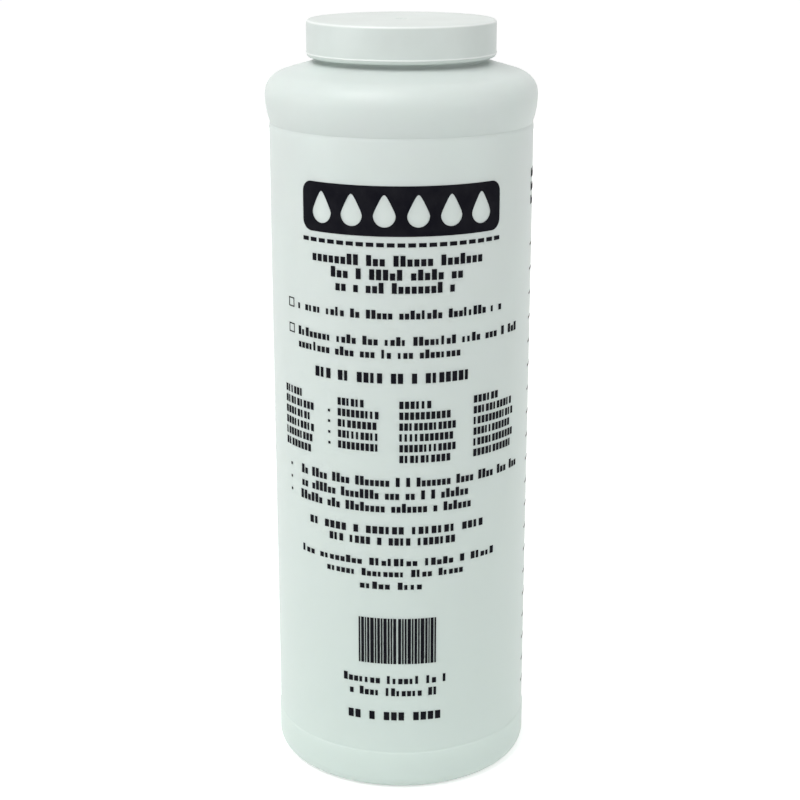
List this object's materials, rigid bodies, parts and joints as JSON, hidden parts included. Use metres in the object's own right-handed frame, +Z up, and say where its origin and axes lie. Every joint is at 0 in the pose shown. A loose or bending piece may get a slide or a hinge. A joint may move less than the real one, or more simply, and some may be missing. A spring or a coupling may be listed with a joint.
{
  "type": "fuel mixing bottle",
  "caption": "Round translucent plastic bottle with a wide neck, a shallow screw cap and a foam liner, printed with a fuel and oil measuring scale.",
  "frame": {"origin": "middle of the base, on the surface that the bottle stands on", "axes": "+Z up along the axis of the bottle and cap, -Y towards the printed front, +X to the viewer's right when the front is faced"},
  "size_m": [0.0802, 0.0802, 0.229],
  "materials": {
    "bottle_plastic": "natural translucent polyethylene, satin, faintly green",
    "cap_plastic": "satin off-white moulded plastic",
    "liner_foam": "matt white closed-cell foam",
    "print_ink": "flat black screen-print ink"
  },
  "bodies": {
    "bottle": {"bottle": "bottle_plastic"},
    "liner": {"cap_liner": "liner_foam"},
    "cap": {"cap": "cap_plastic"}
  },
  "joints": [
    {"name": "cap_rise", "type": "slide", "parent": "bottle", "child": "liner", "axis": [0, 0, 1], "range_m": [0, 0.0128]},
    {"name": "cap_turn", "type": "hinge", "parent": "liner", "child": "cap", "pos_m": [0, 0, 0.2265], "axis": [0, 0, 1], "range_deg": [0, 1080]}
  ],
  "couplings": [
    {"joint": "cap_rise", "follows": "cap_turn", "m_per_rad": 0.00067376}
  ]
}
